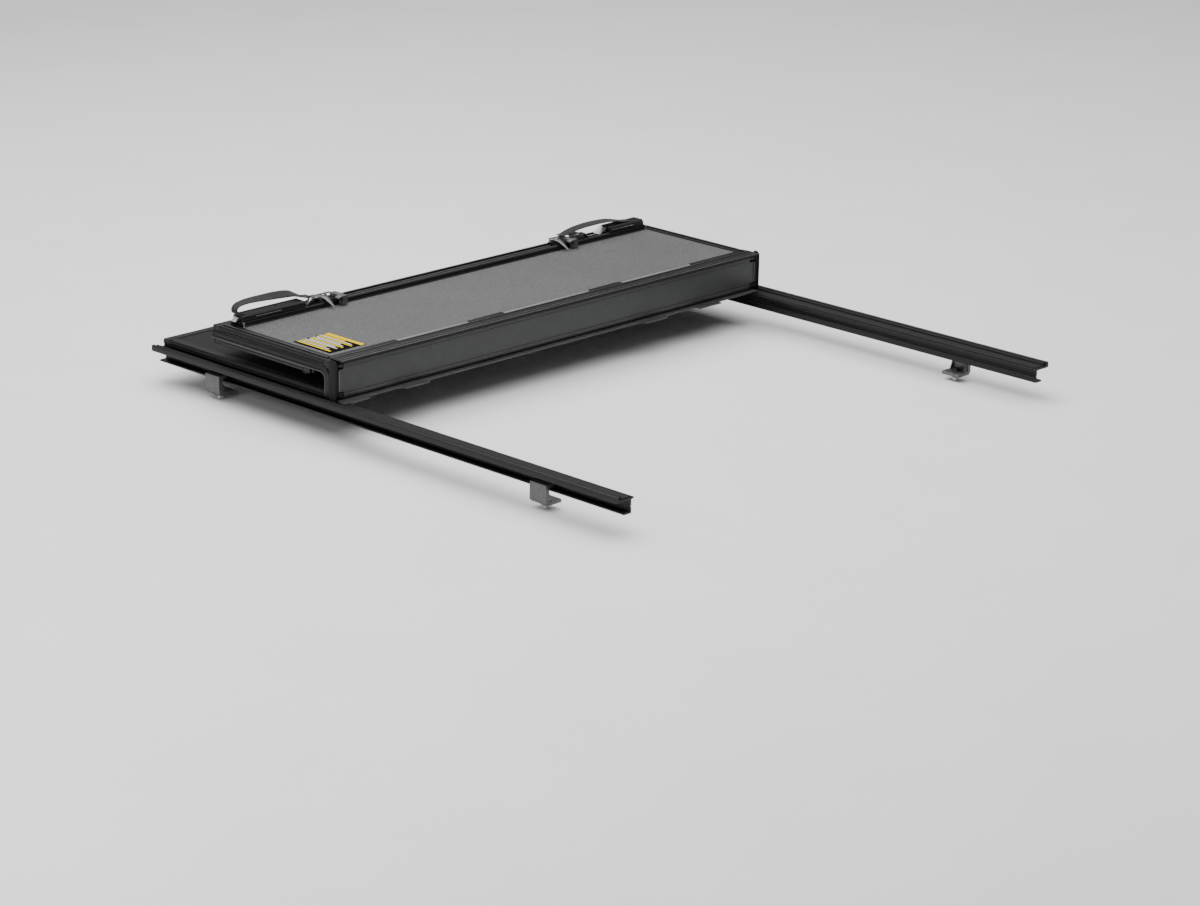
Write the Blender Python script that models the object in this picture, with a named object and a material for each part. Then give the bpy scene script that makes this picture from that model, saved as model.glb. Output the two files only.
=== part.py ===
"""Tri-fold hard tonneau cover for a mid-size pickup bed, shown stowed at the cab end.

+X is the vehicle's right side, +Y points to the cab and +Z is up.  The front panel lies on two side
rails.  A narrow fold panel stands on its rear edge, the middle panel lies upside down on top of that,
and the tail panel is folded in between, right side up.  The origin is under the middle of the rails.
"""
import bpy
import bmesh
from math import cos, pi, radians, sin
from mathutils import Vector

MM = 0.001

# Driving dimensions
COVER_LENGTH = 1530 * MM
HALF_LENGTH = COVER_LENGTH / 2
HALF_WIDTH = 707 * MM
RAIL_HALF_SPAN = 729.5 * MM
RAIL_TOP_Z = 92 * MM
PANEL_T = 19 * MM
HALF_T = PANEL_T / 2
UNDERSIDE_Z = RAIL_TOP_Z - 3 * MM
FOLD_Y = 148.5 * MM
FOLD_HEIGHT = 73 * MM
MIDDLE_LENGTH = 416 * MM
TAIL_LENGTH = 350 * MM
TAIL_AXIS_PROUD = 3 * MM
CORE_HALF_T = 7.7
PIN_R = 2.5 * MM
PIN_BORE_R = 2.8 * MM
ROUND_SIDES = 16

LOWER_AXIS_Z = UNDERSIDE_Z + HALF_T
UPPER_AXIS_Z = LOWER_AXIS_Z + FOLD_HEIGHT
TAIL_AXIS_Y = FOLD_Y + MIDDLE_LENGTH
TAIL_AXIS_Z = UPPER_AXIS_Z - HALF_T - TAIL_AXIS_PROUD
TAIL_MID_Z = TAIL_AXIS_Z - TAIL_AXIS_PROUD - HALF_T
FRONT_LENGTH = HALF_LENGTH - 18 * MM - FOLD_Y

LUG_X = (681 * MM, 695 * MM)
FOLD_PANEL_HALF = 680 * MM
BAR_HALF = 672 * MM
BOLT_TIP_X = 682.5 * MM
HOUSING_X = (545 * MM, 668 * MM)
BRACKET_X = (355 * MM, 472 * MM)
CLAMP_YS = (-520 * MM, 560 * MM)

SIDES = (("left", -1), ("right", 1))


# ---------------------------------------------------------------- scene and materials

for old in list(bpy.data.objects):
    bpy.data.objects.remove(old, do_unlink=True)


def finish(name, colour, roughness, metallic=0.0):
    material = bpy.data.materials.new(name)
    material.use_nodes = True
    shader = material.node_tree.nodes["Principled BSDF"]
    shader.inputs["Base Color"].default_value = (*colour, 1)
    shader.inputs["Roughness"].default_value = roughness
    shader.inputs["Metallic"].default_value = metallic
    return material


BLACK_ALUMINIUM = finish("black_aluminium", (0.018, 0.018, 0.019), 0.42, 0.3)
PANEL_SKIN = finish("panel_skin", (0.085, 0.087, 0.09), 0.62)
FOLD_SKIN = finish("fold_panel_coat", (0.06, 0.061, 0.063), 0.5)
RUBBER = finish("rubber", (0.01, 0.01, 0.01), 0.55)
PLASTIC = finish("black_plastic", (0.014, 0.014, 0.015), 0.45)
STEEL = finish("zinc_steel", (0.55, 0.55, 0.54), 0.3, 1.0)
GREY_METAL = finish("grey_cast_metal", (0.16, 0.16, 0.165), 0.4, 0.7)
WEBBING = finish("webbing", (0.015, 0.016, 0.016), 0.85)
LABEL = finish("label", (0.02, 0.02, 0.02), 0.5)


# ---------------------------------------------------------------- shape helpers

def add_object(name, mesh, material, smooth=False):
    obj = bpy.data.objects.new(name, mesh)
    bpy.context.scene.collection.objects.link(obj)
    if material:
        mesh.materials.append(material)
    if smooth:
        mesh.shade_smooth()
        mesh.set_sharp_from_angle(angle=radians(35))
    return obj


def prism(name, outline, sweep, material, smooth=False, origin=(0, 0, 0)):
    """Closed solid: an outline of 3-D points swept by a vector, with its own origin."""
    mesh = bpy.data.meshes.new(name)
    bm = bmesh.new()
    base = Vector(origin)
    face = bm.faces.new([bm.verts.new(Vector(point) - base) for point in outline])
    swept = bmesh.ops.extrude_face_region(bm, geom=[face])
    moved = [item for item in swept["geom"] if isinstance(item, bmesh.types.BMVert)]
    bmesh.ops.translate(bm, verts=moved, vec=Vector(sweep))
    bmesh.ops.recalc_face_normals(bm, faces=bm.faces)
    bm.to_mesh(mesh)
    bm.free()
    obj = add_object(name, mesh, material, smooth)
    obj.location = base
    return obj


def box(name, low, high, material, origin=(0, 0, 0)):
    outline = [(low[0], low[1], low[2]), (low[0], high[1], low[2]),
               (low[0], high[1], high[2]), (low[0], low[1], high[2])]
    return prism(name, outline, (high[0] - low[0], 0, 0), material, origin=origin)


def rod(name, start, end, radius, material, sides=ROUND_SIDES, origin=(0, 0, 0)):
    """Round bar between two points."""
    start, end = Vector(start), Vector(end)
    along = (end - start).normalized()
    across = along.orthogonal().normalized()
    other = along.cross(across)
    ring = [start + radius * (across * cos(2 * pi * i / sides) + other * sin(2 * pi * i / sides))
            for i in range(sides)]
    return prism(name, ring, end - start, material, smooth=True, origin=origin)


def loft(bm, rings):
    """Closed skin over rings of equal count, with both ends filled."""
    for a, b in zip(rings, rings[1:]):
        for i in range(len(a)):
            j = (i + 1) % len(a)
            bm.faces.new((a[i], a[j], b[j], b[i]))
    bm.faces.new(rings[0])
    bm.faces.new(rings[-1])
    bmesh.ops.recalc_face_normals(bm, faces=bm.faces)


def arc(centre, radius, start_deg, end_deg, steps):
    """Points of an arc in a plane, both ends included."""
    turns = [radians(start_deg + (end_deg - start_deg) * i / steps) for i in range(steps + 1)]
    return [(centre[0] + radius * cos(turn), centre[1] + radius * sin(turn)) for turn in turns]


def combine(target, tool, operation):
    """Boolean with a hidden helper, which stays in the file as a construction guide."""
    tool.hide_render = True
    tool.display_type = "WIRE"
    change = target.modifiers.new(tool.name, "BOOLEAN")
    change.operation = operation
    change.solver = "EXACT"
    change.object = tool


def cut(target, tool):
    combine(target, tool, "DIFFERENCE")


def join(target, tool):
    combine(target, tool, "UNION")


class Panel:
    """A panel's own axes: u runs along it away from its hinge, t towards its weather side."""

    def __init__(self, y, z, u_sign, t_sign):
        self.y, self.z, self.u_sign, self.t_sign = y, z, u_sign, t_sign

    def point(self, x, u, t):
        return (x, self.y + self.u_sign * u, self.z + self.t_sign * t)

    def across(self, name, outline, x0, x1, material, smooth=False):
        """Sweeps an outline of (u, t) in millimetres from x0 to x1."""
        points = [self.point(x0, u * MM, t * MM) for u, t in outline]
        return prism(name, points, (x1 - x0, 0, 0), material, smooth, self.point(0, 0, 0))

    def along(self, name, outline, side, u0, u1, material):
        """Sweeps an outline of (inboard distance, t) in millimetres from u0 to u1 at one edge."""
        points = [self.point(side * (HALF_WIDTH - s * MM), u0, t * MM) for s, t in outline]
        sweep = (0, self.u_sign * (u1 - u0), 0)
        return prism(name, points, sweep, material, origin=self.point(0, 0, 0))

    def block(self, name, x, u, t, material, origin=None):
        """Box between pairs of x in metres, and u and t in millimetres."""
        a = self.point(x[0], u[0] * MM, t[0] * MM)
        b = self.point(x[1], u[1] * MM, t[1] * MM)
        low = tuple(map(min, a, b))
        high = tuple(map(max, a, b))
        return box(name, low, high, material, origin or self.point(0, 0, 0))


FRONT = Panel(FOLD_Y, LOWER_AXIS_Z, 1, 1)
MIDDLE = Panel(FOLD_Y, UPPER_AXIS_Z, 1, -1)
TAIL = Panel(TAIL_AXIS_Y, TAIL_MID_Z, -1, 1)


# ---------------------------------------------------------------- side rails, seals and clamps

RAIL_OUTLINE = (
    [(0, -14), (0, -1.2), (1.5, 0), (3, -1.2), (4.5, -1.2), (6, 0), (7.5, -1.2), (9, -1.2)]
    + [(9, -9), (54, -9), (54, -12), (46, -13), (46, -27), (49, -28.5), (49, -31), (46, -32.5)]
    + [(46, -44), (24, -44), (24, -40), (42, -40), (42, -14)]
)
SEAL_OUTLINE = (
    [(10, -8.7), (10, -6)] + arc((14.5, -5.5), 4.5, 180, 0, 6)
    + [(19, -7.2), (48, -7.2), (48, -8.7)]
)


def rail_prism(name, outline, side, y0, y1, material, smooth=False):
    """Sweeps an outline of (inboard distance from the outer lip, height over the rail top)."""
    points = [(side * (RAIL_HALF_SPAN - d * MM), y0, RAIL_TOP_Z + h * MM) for d, h in outline]
    return prism(name, points, (0, y1 - y0, 0), material, smooth)


CLAMP_HOOK = [(14, -30), (41, -30), (41, -39.6), (23.6, -39.6), (23.6, -70), (60, -70), (60, -78),
              (14, -78)]
CLAMP_HALF_WIDTH = 25 * MM
SCREW_INSET = 38 * MM


def clamp(name, side, y):
    """C-shaped clamp that hooks over the rail's foot, with its jaw opening inboard."""
    body = rail_prism(name, CLAMP_HOOK, side, y - CLAMP_HALF_WIDTH, y + CLAMP_HALF_WIDTH, GREY_METAL)
    x = side * (RAIL_HALF_SPAN - SCREW_INSET)
    low, high = RAIL_TOP_Z - 90 * MM, RAIL_TOP_Z - 60 * MM
    cut(body, rod(name + "_hole", (x, y, low), (x, y, high), 4.4 * MM, None))


def clamp_bolt(name, side, y):
    """Hexagon head, shank and pressure pad, turned as one."""
    x = side * (RAIL_HALF_SPAN - SCREW_INSET)

    def at(height):
        return (x, y, RAIL_TOP_Z + height * MM)

    shank = rod(name, at(-88), at(-64), 4 * MM, STEEL, 12)
    join(shank, rod(name + "_head", at(-92), at(-85), 8.5 * MM, None, 6))
    join(shank, rod(name + "_pad", at(-67), at(-62), 9 * MM, None))


SEAL_END = HALF_LENGTH - 2 * MM

for word, sign in SIDES:
    rail_prism("rail_" + word, RAIL_OUTLINE, sign, -HALF_LENGTH, HALF_LENGTH, BLACK_ALUMINIUM)
    rail_prism("rail_seal_" + word, SEAL_OUTLINE, sign, -SEAL_END, SEAL_END, RUBBER, True)
    for place, y in zip(("rear", "front"), CLAMP_YS):
        clamp(f"rail_clamp_{place}_{word}", sign, y)
        clamp_bolt(f"clamp_bolt_{place}_{word}", sign, y)


# ---------------------------------------------------------------- panel pieces

# C-shaped edge frame: (inboard distance, t).  A foot stands on the rail seal when the panel is down.
EDGE_FRAME = [(0, 6), (3, 9.5), (24, 9.5), (24, 8), (11, 8), (11, -8), (31, -8), (31, -9.5),
              (18, -9.5), (18, -12.5), (13, -12.5), (13, -9.5), (3, -9.5), (0, -7)]

# Reach of the hinge extrusion over the skin, of its wider tabs, and the start of the side frames
FOLD_REACH = 28
TAB_REACH = 42
FRAME_START = 43 * MM

# Hinge extrusion: (u, t).  A ledge under the fold panel's round nose keeps water out.
HINGE_WALL = [(10, 9.5), (FOLD_REACH, 9.5), (FOLD_REACH, 8), (16, 8), (16, -8), (24, -8), (24, -9.5),
              (17, -9.5)]
HINGE_LEDGE = [(16, -13), (-21, -13), (-21, -10), (-18.5, -10), (-18.5, -11), (-16.5, -11), (-16.5, -10),
               (-14, -10), (-14, -11), (-12, -11), (-12, -10), (10, -10)]


def lug_outline():
    """Round-ended lug about the fold axis, reaching back to the extrusion's wall."""
    return arc((0, 0), 9, 90, 270, 8) + [(12, -9), (12, 9)]


def pin_bore(name, z, radius=PIN_BORE_R):
    reach = HALF_WIDTH + 10 * MM
    return rod(name, (-reach, FOLD_Y, z), (reach, FOLD_Y, z), radius, None)


def hinge_extrusion(name, panel, tabs):
    """Full-width edge extrusion with a pierced lug at each end."""
    body = panel.across(name, HINGE_WALL + HINGE_LEDGE, -HALF_WIDTH, HALF_WIDTH, BLACK_ALUMINIUM)
    for word, sign in SIDES:
        x0, x1 = sorted((sign * LUG_X[0], sign * LUG_X[1]))
        join(body, panel.across(f"{name}_lug_{word}", lug_outline(), x0, x1, None))
    for number, (x0, x1, outline) in enumerate(tabs):
        join(body, panel.across(f"{name}_tab_{number}", outline, x0, x1, None))
    cut(body, pin_bore(name + "_bore", panel.z))
    return body


def core(name, panel, u0, u1):
    """Flat sandwich core with its skins, held in the frame's channels."""
    reach = HALF_WIDTH - 11.3 * MM
    return panel.block(name, (-reach, reach), (u0, u1), (-CORE_HALF_T, CORE_HALF_T), PANEL_SKIN)


def header_outline(end, reach=20):
    """C-shaped end frame that closes a panel whose far edge is at u = end."""
    return [(end, 9.5), (end - reach, 9.5), (end - reach, 8), (end - 7, 8), (end - 7, -8),
            (end - 22, -8), (end - 22, -9.5), (end, -9.5)]


def edge_frames(prefix, panel, u1):
    for word, sign in SIDES:
        panel.along(f"{prefix}_frame_{word}", EDGE_FRAME, sign, FRAME_START, u1, BLACK_ALUMINIUM)


# ---------------------------------------------------------------- front panel

FRONT_END = FRONT_LENGTH / MM
LEDGE_TAB = [(-20, -13), (-33, -13), (-34, -10.5), (-33, -10), (-20, -10)]
LEDGE_TAB_HALF = 40 * MM
LEDGE_TAB_CENTRES = (-661 * MM, -475 * MM, 317 * MM, 511 * MM)
ledge_tabs = [(x - LEDGE_TAB_HALF, x + LEDGE_TAB_HALF, LEDGE_TAB) for x in LEDGE_TAB_CENTRES]
hinge_extrusion("front_hinge_extrusion", FRONT, ledge_tabs)
core("front_panel_core", FRONT, 16.5, FRONT_END - 7.5)
edge_frames("front", FRONT, FRONT_LENGTH - 22.5 * MM)
FRONT.across("front_header", header_outline(FRONT_END), -HALF_WIDTH, HALF_WIDTH, BLACK_ALUMINIUM)

BULB_HALF = HALF_WIDTH - 12 * MM
bulb_outline = [(FRONT_END + 0.4, -12)] + arc((FRONT_END + 9, -3), 8, 270, 450, 8) + [(FRONT_END + 0.4, 6)]
FRONT.across("bulkhead_seal", bulb_outline, -BULB_HALF, BULB_HALF, RUBBER, True)


def hinge_pin(name, z):
    reach = 694 * MM
    return rod(name, (-reach, FOLD_Y, z), (reach, FOLD_Y, z), PIN_R, STEEL, origin=(0, FOLD_Y, z))


hinge_pin("lower_hinge_pin", LOWER_AXIS_Z)


# ---------------------------------------------------------------- fold panel

def fold_outline():
    """Round-nosed strip: (v, w), v towards the cab and w up from the lower axis, with a recessed face."""
    height = FOLD_HEIGHT / MM
    radius = HALF_T / MM
    lower = arc((0, 0), radius, 360, 180, 10)
    upper = arc((0, height), radius, 180, 0, 10)
    recess = [(-radius, 4), (-radius + 1.5, 5), (-radius + 1.5, height - 5), (-radius, height - 4)]
    return lower + recess + upper


FOLD = Panel(FOLD_Y, LOWER_AXIS_Z, 1, 1)
fold_panel = FOLD.across("fold_panel", fold_outline(), -FOLD_PANEL_HALF, FOLD_PANEL_HALF, FOLD_SKIN, True)
cut(fold_panel, pin_bore("fold_panel_lower_bore", LOWER_AXIS_Z))
cut(fold_panel, pin_bore("fold_panel_upper_bore", UPPER_AXIS_Z))
hinge_pin("upper_hinge_pin", UPPER_AXIS_Z)

END_CAP_X = (680.4 * MM, 699 * MM)
END_SEAL_X = (699.4 * MM, 709 * MM)
end_stadium = arc((0, 0), 9, 360, 180, 8) + arc((0, FOLD_HEIGHT / MM), 9, 180, 0, 8)
for word, sign in SIDES:
    x0, x1 = sorted((sign * END_CAP_X[0], sign * END_CAP_X[1]))
    FOLD.block("fold_end_cap_" + word, (x0, x1), (-HALF_T / MM, HALF_T / MM), (10.5, 62.5), PLASTIC)
    x0, x1 = sorted((sign * END_SEAL_X[0], sign * END_SEAL_X[1]))
    FOLD.across("fold_end_seal_" + word, end_stadium, x0, x1, RUBBER, True)


# ---------------------------------------------------------------- middle panel

MIDDLE_END = MIDDLE_LENGTH / MM - 0.5
SKIN_TAB = [(22, -8), (TAB_REACH, -8), (TAB_REACH, -9.5), (22, -9.5)]
SKIN_TAB_SPANS = ((-707, -480), (-255, -140), (140, 255), (480, 707))
skin_tabs = [(x0 * MM, x1 * MM, SKIN_TAB) for x0, x1 in SKIN_TAB_SPANS]
hinge_extrusion("middle_hinge_extrusion", MIDDLE, skin_tabs)
core("middle_panel_core", MIDDLE, 16.5, MIDDLE_END - 7.5)
edge_frames("middle", MIDDLE, MIDDLE_LENGTH - 23 * MM)

SIDE_LIP = [(-0.3, -7), (-5, -5), (-6.5, 0), (-5, 5), (-0.3, 7)]
for word, sign in SIDES:
    MIDDLE.along("middle_seal_" + word, SIDE_LIP, sign, 12 * MM, MIDDLE_LENGTH - 2 * MM, RUBBER)

KNUCKLE_R = 2.6 * MM
KNUCKLE_BORE_R = 1.6 * MM
KNUCKLE_SIDES = 12
KNUCKLE_GAP = 0.5 * MM
TAIL_PIN_R = 1.2 * MM
TAIL_PIN_HALF = 689 * MM
KNUCKLE_EDGES = [x * MM for x in (-690, -560, -330, -200, -65, 65, 200, 330, 560, 690)]


def tail_hinge_rod(name, x0, x1, radius, material=None):
    """Round bar on the tail panel's hinge axis."""
    start, end = (x0, TAIL_AXIS_Y, TAIL_AXIS_Z), (x1, TAIL_AXIS_Y, TAIL_AXIS_Z)
    origin = (0, TAIL_AXIS_Y, TAIL_AXIS_Z) if material else (0, 0, 0)
    return rod(name, start, end, radius, material, KNUCKLE_SIDES, origin)


def add_knuckles(header, panel, first, u):
    """Barrel pieces on every second stretch of the tail hinge, each on a short leaf, and their bore."""
    spans = list(zip(KNUCKLE_EDGES, KNUCKLE_EDGES[1:]))[first::2]
    for number, (x0, x1) in enumerate(spans):
        x0, x1 = x0 + KNUCKLE_GAP, x1 - KNUCKLE_GAP
        join(header, tail_hinge_rod(f"{header.name}_barrel_{number}", x0, x1, KNUCKLE_R))
        join(header, panel.block(f"{header.name}_leaf_{number}", (x0, x1), u, (9, 12.4), None))
    cut(header, tail_hinge_rod(header.name + "_bore", -HALF_WIDTH, HALF_WIDTH, KNUCKLE_BORE_R))


middle_header = MIDDLE.across("middle_header", header_outline(MIDDLE_END), -HALF_WIDTH, HALF_WIDTH,
                              BLACK_ALUMINIUM)
add_knuckles(middle_header, MIDDLE, 0, (MIDDLE_END - 5, MIDDLE_END - 0.2))
tail_hinge_rod("tail_hinge_pin", -TAIL_PIN_HALF, TAIL_PIN_HALF, TAIL_PIN_R, STEEL)

# Latch bar with an open channel along its top, centred on the bolts' line
BAR_FRONT = MIDDLE_END - 66.5
BAR_BACK = MIDDLE_END - 22.5
BOLT_U = MIDDLE_END - 43.5
CHANNEL_HALF = 11
bar_outline = [(BAR_FRONT, -8), (BAR_FRONT + 3, -18), (BAR_FRONT + 7, -21),
               (BOLT_U - CHANNEL_HALF, -21), (BOLT_U - CHANNEL_HALF, -16),
               (BOLT_U + CHANNEL_HALF, -16), (BOLT_U + CHANNEL_HALF, -21),
               (BAR_BACK - 4, -21), (BAR_BACK - 1, -18), (BAR_BACK, -8)]
MIDDLE.across("middle_latch_bar", bar_outline, -BAR_HALF, BAR_HALF, BLACK_ALUMINIUM)
MIDDLE.block("care_label", (-662 * MM, -552 * MM), (58, 186), (-9, -8), LABEL)


# ---------------------------------------------------------------- middle panel latches

BOLT_T = -23
HOUSING_FOOT_T = -21.3
HOUSING_OUTLINE = [(-20, HOUSING_FOOT_T), (-19, -26), (-14, -28.5), (12, -28.5), (16, -26),
                   (17, HOUSING_FOOT_T), (8, HOUSING_FOOT_T), (8, -26.4), (-8, -26.4), (-8, HOUSING_FOOT_T)]
BOLT_HALF = 7
BOLT_SPAN_T = (-20, -26)
BOLT_NOSE = 8
BOLT_BACK_X = 540
PULL_ROD_X = (432, 560)


def latch_housing(name, side):
    """Bevelled cover with a channel on its underside, in which the bolt slides."""
    outline = [(BOLT_U + u, t) for u, t in HOUSING_OUTLINE]
    x0, x1 = sorted((side * HOUSING_X[0], side * HOUSING_X[1]))
    return MIDDLE.across(name, outline, x0, x1, PLASTIC)


def bolt_line(side, x, t=BOLT_T):
    """Point over the latch bolts' shared line, x outboard of the middle."""
    return MIDDLE.point(side * x * MM, BOLT_U * MM, t * MM)


def latch_bolt(name, side):
    """Bevel-nosed slam bolt with the pull rod that runs inboard from it."""
    tip = BOLT_TIP_X / MM
    low, high = BOLT_SPAN_T
    profile = [(tip, low), (tip, low - 1.5), (tip - BOLT_NOSE, high), (BOLT_BACK_X, high), (BOLT_BACK_X, low)]
    points = [MIDDLE.point(side * x * MM, (BOLT_U - BOLT_HALF) * MM, t * MM) for x, t in profile]
    body = prism(name, points, (0, 2 * BOLT_HALF * MM, 0), STEEL, origin=bolt_line(side, 600))
    ends = [bolt_line(side, x, low + 1) for x in PULL_ROD_X]
    join(body, rod(name + "_rod", ends[1], ends[0], 1.8 * MM, None, 10))


# (u from the bolts' line, t) of the jaw, which hangs over the latch bar's front edge
JAW_OUTLINE = [(-38, -12), (-23.5, -12), (-23.5, HOUSING_FOOT_T), (-20, HOUSING_FOOT_T), (-20, -31),
               (-33, -31), (-38, -27)]


# Inboard side of each keeper: the right bracket carries its keeper outboard of its flap
KEEPER_X = {"left": 357, "right": 386}


def strap_bracket(name, side, k):
    """Base on the latch bar, with a keeper and jaw from x = k, and a leaning plate for the strap outboard."""
    x0, x1 = (value / MM for value in BRACKET_X)
    keeper = [(x0, HOUSING_FOOT_T), (x0, -24.3), (k, -24.3), (k, -31), (k + 3, -33), (k + 20, -33),
              (k + 24, -30), (k + 24, -24.3)]
    plate = [(x1 - 12, -24.3), (x1 - 22, -33), (x1 - 15, -33), (x1, -24.3), (x1, HOUSING_FOOT_T)]
    points = [MIDDLE.point(side * x * MM, (BOLT_U - 21) * MM, t * MM) for x, t in keeper + plate]
    bracket = prism(name, points, (0, 36 * MM, 0), GREY_METAL)
    jaw_x = sorted((side * (k + 1) * MM, side * (k + 20) * MM))
    jaw = MIDDLE.across(name + "_jaw", [(BOLT_U + u, t) for u, t in JAW_OUTLINE], *jaw_x, None)
    join(bracket, jaw)


# Each flap's pivot; the two brackets carry their flaps at different places
FLAP_U = BOLT_U + 4
FLAP_T = -28.5
FLAP_X = {"left": 410 * MM, "right": 370 * MM}
FLAP_HALF_T = 1.3
FLAP_RISE = 2.0
FLAP_BEND_U = -22
FLAP_DROOP = 0.35
# (u from the pivot, half width), from the pivot to the pointed tip
FLAP_ROWS = [(3, 11), (-4, 11), (-14, 11), (-22, 8.8), (-30, 6.8), (-40, 4.2), (-50, 1.6)]


def release_flap(name, side, pivot_x):
    """Pointed finger flap on a cross pivot, its tip hanging over the bar's front edge."""
    mesh = bpy.data.meshes.new(name)
    bm = bmesh.new()
    rings = []
    for u, half in FLAP_ROWS:
        height = FLAP_RISE - FLAP_DROOP * max(FLAP_BEND_U - u, 0)
        corners = ((-half, FLAP_HALF_T), (half, FLAP_HALF_T), (half, -FLAP_HALF_T), (-half, -FLAP_HALF_T))
        rings.append([bm.verts.new((x * MM, u * MM, (height + t) * MM)) for x, t in corners])
    loft(bm, rings)
    bm.to_mesh(mesh)
    bm.free()
    flap = add_object(name, mesh, GREY_METAL)
    flap.location = MIDDLE.point(side * pivot_x, FLAP_U * MM, FLAP_T * MM)


# (inboard foot, outboard foot, crown t) of each strap; the left one is drawn up higher
STRAPS = {"left": (456, 676, -64), "right": (400, 618, -54)}
STRAP_FOOT_T = -34
STRAP_HALF_WIDTH = 11
STRAP_THICKNESS = 2.2
STRAP_STEPS = 16
STRAP_ROUNDING = 0.6


def strap_point(share, inner, outer, crown):
    """(x, t) on the arch, from the bracket at share 0 to the bolt's end at share 1."""
    turn = pi * share
    x = inner + (outer - inner) * (1 - cos(turn)) / 2
    return Vector((x, STRAP_FOOT_T + (crown - STRAP_FOOT_T) * sin(turn) ** STRAP_ROUNDING))


def pull_strap(name, side, shape):
    """Webbing handle arching from the bolt's outer end to the bracket."""
    route = [strap_point(i / STRAP_STEPS, *shape) for i in range(STRAP_STEPS + 1)]
    mesh = bpy.data.meshes.new(name)
    bm = bmesh.new()
    rings = []
    for i, middle in enumerate(route):
        along = (route[min(i + 1, STRAP_STEPS)] - route[max(i - 1, 0)]).normalized()
        normal = Vector((-along[1], along[0])) * STRAP_THICKNESS / 2
        ring = []
        for sign, edge in ((1, -1), (1, 1), (-1, 1), (-1, -1)):
            x, t = middle + sign * normal
            u = BOLT_U + edge * STRAP_HALF_WIDTH
            ring.append(bm.verts.new(MIDDLE.point(side * x * MM, u * MM, t * MM)))
        rings.append(ring)
    loft(bm, rings)
    bm.to_mesh(mesh)
    bm.free()
    add_object(name, mesh, WEBBING)


for word, sign in SIDES:
    latch_housing("latch_housing_" + word, sign)
    latch_bolt("latch_bolt_" + word, sign)
    strap_bracket("strap_bracket_" + word, sign, KEEPER_X[word])
    release_flap("release_flap_" + word, sign, FLAP_X[word])
    pull_strap("pull_strap_" + word, sign, STRAPS[word])


# ---------------------------------------------------------------- tail panel

TAIL_START = 0.5
TAIL_END = TAIL_LENGTH / MM - 10
TAIL_HEADER = [(0, 9.5), (20, 9.5), (20, 8), (7, 8), (7, -8), (22, -8), (22, -9.5), (0, -9.5)]
tail_hinge_header = TAIL.across("tail_hinge_header", [(TAIL_START + u, t) for u, t in TAIL_HEADER],
                                -HALF_WIDTH, HALF_WIDTH, BLACK_ALUMINIUM)
add_knuckles(tail_hinge_header, TAIL, 1, (TAIL_START + 0.2, TAIL_START + 4.5))

core("tail_panel_core", TAIL, TAIL_START + 7.5, TAIL_END - 8)
for word, sign in SIDES:
    TAIL.along("tail_frame_" + word, EDGE_FRAME, sign, 23 * MM, (TAIL_END - 23) * MM, BLACK_ALUMINIUM)
TAIL.across("tail_end_header", header_outline(TAIL_END), -HALF_WIDTH, HALF_WIDTH, BLACK_ALUMINIUM)
TAIL_LIP_HALF = HALF_WIDTH - 4 * MM
tail_lip = [(TAIL_END + 0.4, -6)] + arc((TAIL_END + 4, -3), 6, 290, 430, 6) + [(TAIL_END + 0.4, 5)]
TAIL.across("tail_seal", tail_lip, -TAIL_LIP_HALF, TAIL_LIP_HALF, RUBBER, True)

TAIL_BAR_U = TAIL_END - 45
TAIL_BAR = [(-20, -8), (-16, -26.5), (16, -26.5), (20, -8), (10, -8), (10, -24.6), (-10, -24.6), (-10, -8)]
TAIL_BAR_HALF = 640 * MM
PADDLE_HALF = 33 * MM
PADDLE_BAY_HALF = 35 * MM
tail_bar = TAIL.across("tail_latch_bar", [(TAIL_BAR_U + u, t) for u, t in TAIL_BAR], -TAIL_BAR_HALF,
                       TAIL_BAR_HALF, BLACK_ALUMINIUM)
cut(tail_bar, TAIL.block("tail_bar_paddle_bay", (-PADDLE_BAY_HALF, PADDLE_BAY_HALF),
                         (TAIL_BAR_U - 9.5, TAIL_BAR_U + 30), (-30, -18), None))

TAIL_BOLT_INNER_X = 60 * MM
for word, sign in SIDES:
    x0, x1 = sorted((sign * TAIL_BOLT_INNER_X, sign * BOLT_TIP_X))
    TAIL.block("tail_bolt_" + word, (x0, x1), (TAIL_BAR_U - 7, TAIL_BAR_U + 7), (-24.2, -20.2), STEEL,
               origin=TAIL.point(sign * 370 * MM, TAIL_BAR_U * MM, -22 * MM))

TAIL.block("tail_release_paddle", (-PADDLE_HALF, PADDLE_HALF), (TAIL_BAR_U - 7.5, TAIL_BAR_U + 17),
           (-27, -24.8), PLASTIC, origin=TAIL.point(0, (TAIL_BAR_U - 5) * MM, -26 * MM))
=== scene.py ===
"""Looks of the folding tonneau cover: finer surfaces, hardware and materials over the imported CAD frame.

World frame in metres: +X vehicle right, +Y to the cab, +Z up, floor at z = 0.
Shapes are in millimetres; the camera, blends, modifiers, floor and lights are in metres.
"""

from math import atan2, cos, pi, radians, sin, tan

import bmesh
import bpy
from mathutils import Matrix, Vector


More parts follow.
